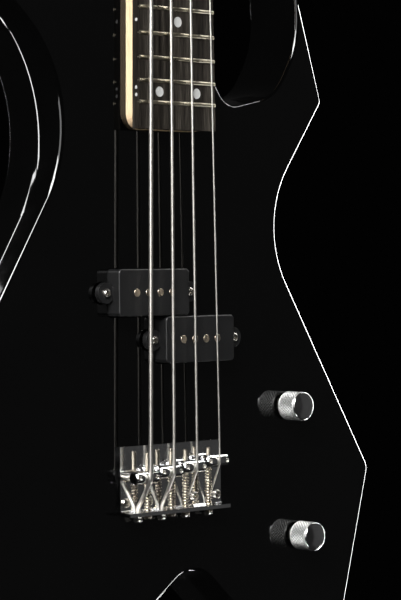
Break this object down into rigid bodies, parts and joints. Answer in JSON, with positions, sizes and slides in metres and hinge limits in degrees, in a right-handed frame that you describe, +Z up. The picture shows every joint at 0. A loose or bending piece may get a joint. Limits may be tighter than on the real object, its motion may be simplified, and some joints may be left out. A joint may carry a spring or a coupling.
{
  "type": "electric bass guitar",
  "caption": "Electric bass guitar with an angular bevelled body, bolted neck, split pickup, bridge with sliding barrel saddles, turning knobs and geared tuners.",
  "frame": {"origin": "centre line of the neck at the nut, level with the body's front face, where a hanger's yoke carries the instrument", "axes": "+X from the bass side to the treble side, +Y from the front to the back, +Z up along the neck toward the headstock"},
  "size_m": [0.3739, 0.0625, 1.2173],
  "materials": {
    "lacquer_black": "high gloss lacquer",
    "maple": "satin",
    "rosewood": "satin",
    "fret_nickel": "polished",
    "inlay_white": "satin",
    "nut_bone": "satin",
    "steel": "plain",
    "screw_bronze": "plain",
    "chrome": "polished",
    "string_wound": "wound",
    "black_plastic": "satin",
    "pole_metal": "polished",
    "coil_copper": "wound",
    "foam_grey": "matt",
    "wire_cloth": "matt"
  },
  "bodies": {
    "guitar": {"body": "lacquer_black", "neck": "maple", "fretboard": "rosewood", "frets": "fret_nickel", "position_dots": "inlay_white", "side_dots": "inlay_white", "nut": "nut_bone", "truss_rod": "steel", "neck_screws": "steel", "bridge_screws": "steel", "small_screws": "steel", "pot_casings": "steel", "control_nuts": "steel", "intonation_springs": "screw_bronze", "bridge_plate": "chrome", "neck_plate": "chrome", "output_jack": "chrome", "strap_buttons": "chrome", "tuner_housings": "chrome", "tuner_bushings": "chrome", "string_e": "string_wound", "string_a": "string_wound", "string_d": "string_wound", "string_g": "string_wound", "control_cover": "black_plastic", "truss_rod_cover": "black_plastic", "pickup_foam": "foam_grey", "wiring": "wire_cloth"},
    "volume_knob": {"knob_volume": "chrome", "pot_shaft_volume": "steel"},
    "tone_knob": {"knob_tone": "chrome", "pot_shaft_tone": "steel"},
    "pickup_bass": {"pickup_cover_bass": "black_plastic", "pickup_coil_bass": "coil_copper", "pole_pieces_bass": "pole_metal", "pickup_screws_bass": "steel"},
    "pickup_treble": {"pickup_cover_treble": "black_plastic", "pickup_coil_treble": "coil_copper", "pole_pieces_treble": "pole_metal", "pickup_screws_treble": "steel"},
    "adjuster_e": {"intonation_screw_e": "screw_bronze"},
    "saddle_e": {"saddle_e": "chrome", "height_screws_e": "screw_bronze"},
    "key_e": {"tuner_key_e": "chrome"},
    "post_e": {"tuner_post_e": "chrome"},
    "adjuster_a": {"intonation_screw_a": "screw_bronze"},
    "saddle_a": {"saddle_a": "chrome", "height_screws_a": "screw_bronze"},
    "key_a": {"tuner_key_a": "chrome"},
    "post_a": {"tuner_post_a": "chrome"},
    "adjuster_d": {"intonation_screw_d": "screw_bronze"},
    "saddle_d": {"saddle_d": "chrome", "height_screws_d": "screw_bronze"},
    "key_d": {"tuner_key_d": "chrome"},
    "post_d": {"tuner_post_d": "chrome"},
    "adjuster_g": {"intonation_screw_g": "screw_bronze"},
    "saddle_g": {"saddle_g": "chrome", "height_screws_g": "screw_bronze"},
    "key_g": {"tuner_key_g": "chrome"},
    "post_g": {"tuner_post_g": "chrome"}
  },
  "joints": [
    {"name": "volume_turn", "type": "hinge", "parent": "guitar", "child": "volume_knob", "pos_m": [0.0998, 0, -0.8334], "axis": [0, 1, 0], "range_deg": [-150, 150]},
    {"name": "tone_turn", "type": "hinge", "parent": "guitar", "child": "tone_knob", "pos_m": [0.1091, 0, -0.9159], "axis": [0, 1, 0], "range_deg": [-150, 150]},
    {"name": "pickup_bass_height", "type": "slide", "parent": "guitar", "child": "pickup_bass", "axis": [0, -1, 0], "range_m": [-0.0015, 0.0015], "deforming": ["pickup_foam"]},
    {"name": "pickup_treble_height", "type": "slide", "parent": "guitar", "child": "pickup_treble", "axis": [0, -1, 0], "range_m": [-0.0015, 0.0015], "deforming": ["pickup_foam"]},
    {"name": "key_e_turn", "type": "hinge", "parent": "guitar", "child": "key_e", "pos_m": [-0.052, 0.0203, 0.041], "axis": [-1, 0, 0], "continuous": true},
    {"name": "post_e_turn", "type": "hinge", "parent": "guitar", "child": "post_e", "pos_m": [-0.025, 0, 0.05], "axis": [0, -1, 0], "continuous": true},
    {"name": "intonation_e_turn", "type": "hinge", "parent": "guitar", "child": "adjuster_e", "pos_m": [-0.0248, -0.0083, -0.89243], "axis": [0, 0, 1], "continuous": true},
    {"name": "saddle_e_slide", "type": "slide", "parent": "guitar", "child": "saddle_e", "axis": [0, 0, 1], "range_m": [-0.004, 0.004], "deforming": ["string_e", "intonation_springs"]},
    {"name": "key_a_turn", "type": "hinge", "parent": "guitar", "child": "key_a", "pos_m": [-0.0495, 0.0203, 0.093], "axis": [-1, 0, 0], "continuous": true},
    {"name": "post_a_turn", "type": "hinge", "parent": "guitar", "child": "post_a", "pos_m": [-0.0225, 0, 0.102], "axis": [0, -1, 0], "continuous": true},
    {"name": "intonation_a_turn", "type": "hinge", "parent": "guitar", "child": "adjuster_a", "pos_m": [-0.0058, -0.0083, -0.89243], "axis": [0, 0, 1], "continuous": true},
    {"name": "saddle_a_slide", "type": "slide", "parent": "guitar", "child": "saddle_a", "axis": [0, 0, 1], "range_m": [-0.004, 0.004], "deforming": ["string_a", "intonation_springs"]},
    {"name": "key_d_turn", "type": "hinge", "parent": "guitar", "child": "key_d", "pos_m": [0.0495, 0.0203, 0.093], "axis": [1, 0, 0], "continuous": true},
    {"name": "post_d_turn", "type": "hinge", "parent": "guitar", "child": "post_d", "pos_m": [0.0225, 0, 0.102], "axis": [0, -1, 0], "continuous": true},
    {"name": "intonation_d_turn", "type": "hinge", "parent": "guitar", "child": "adjuster_d", "pos_m": [0.0058, -0.0083, -0.89243], "axis": [0, 0, 1], "continuous": true},
    {"name": "saddle_d_slide", "type": "slide", "parent": "guitar", "child": "saddle_d", "axis": [0, 0, 1], "range_m": [-0.004, 0.004], "deforming": ["string_d", "intonation_springs"]},
    {"name": "key_g_turn", "type": "hinge", "parent": "guitar", "child": "key_g", "pos_m": [0.052, 0.0203, 0.041], "axis": [1, 0, 0], "continuous": true},
    {"name": "post_g_turn", "type": "hinge", "parent": "guitar", "child": "post_g", "pos_m": [0.025, 0, 0.05], "axis": [0, -1, 0], "continuous": true},
    {"name": "intonation_g_turn", "type": "hinge", "parent": "guitar", "child": "adjuster_g", "pos_m": [0.0248, -0.0083, -0.89243], "axis": [0, 0, 1], "continuous": true},
    {"name": "saddle_g_slide", "type": "slide", "parent": "guitar", "child": "saddle_g", "axis": [0, 0, 1], "range_m": [-0.004, 0.004], "deforming": ["string_g", "intonation_springs"]}
  ],
  "couplings": [
    {"joint": "post_e_turn", "follows": "key_e_turn", "ratio": 0.05},
    {"joint": "intonation_e_turn", "follows": "saddle_e_slide", "rad_per_m": -12566},
    {"joint": "post_a_turn", "follows": "key_a_turn", "ratio": 0.05},
    {"joint": "intonation_a_turn", "follows": "saddle_a_slide", "rad_per_m": -12566},
    {"joint": "post_d_turn", "follows": "key_d_turn", "ratio": -0.05},
    {"joint": "intonation_d_turn", "follows": "saddle_d_slide", "rad_per_m": -12566},
    {"joint": "post_g_turn", "follows": "key_g_turn", "ratio": -0.05},
    {"joint": "intonation_g_turn", "follows": "saddle_g_slide", "rad_per_m": -12566}
  ]
}
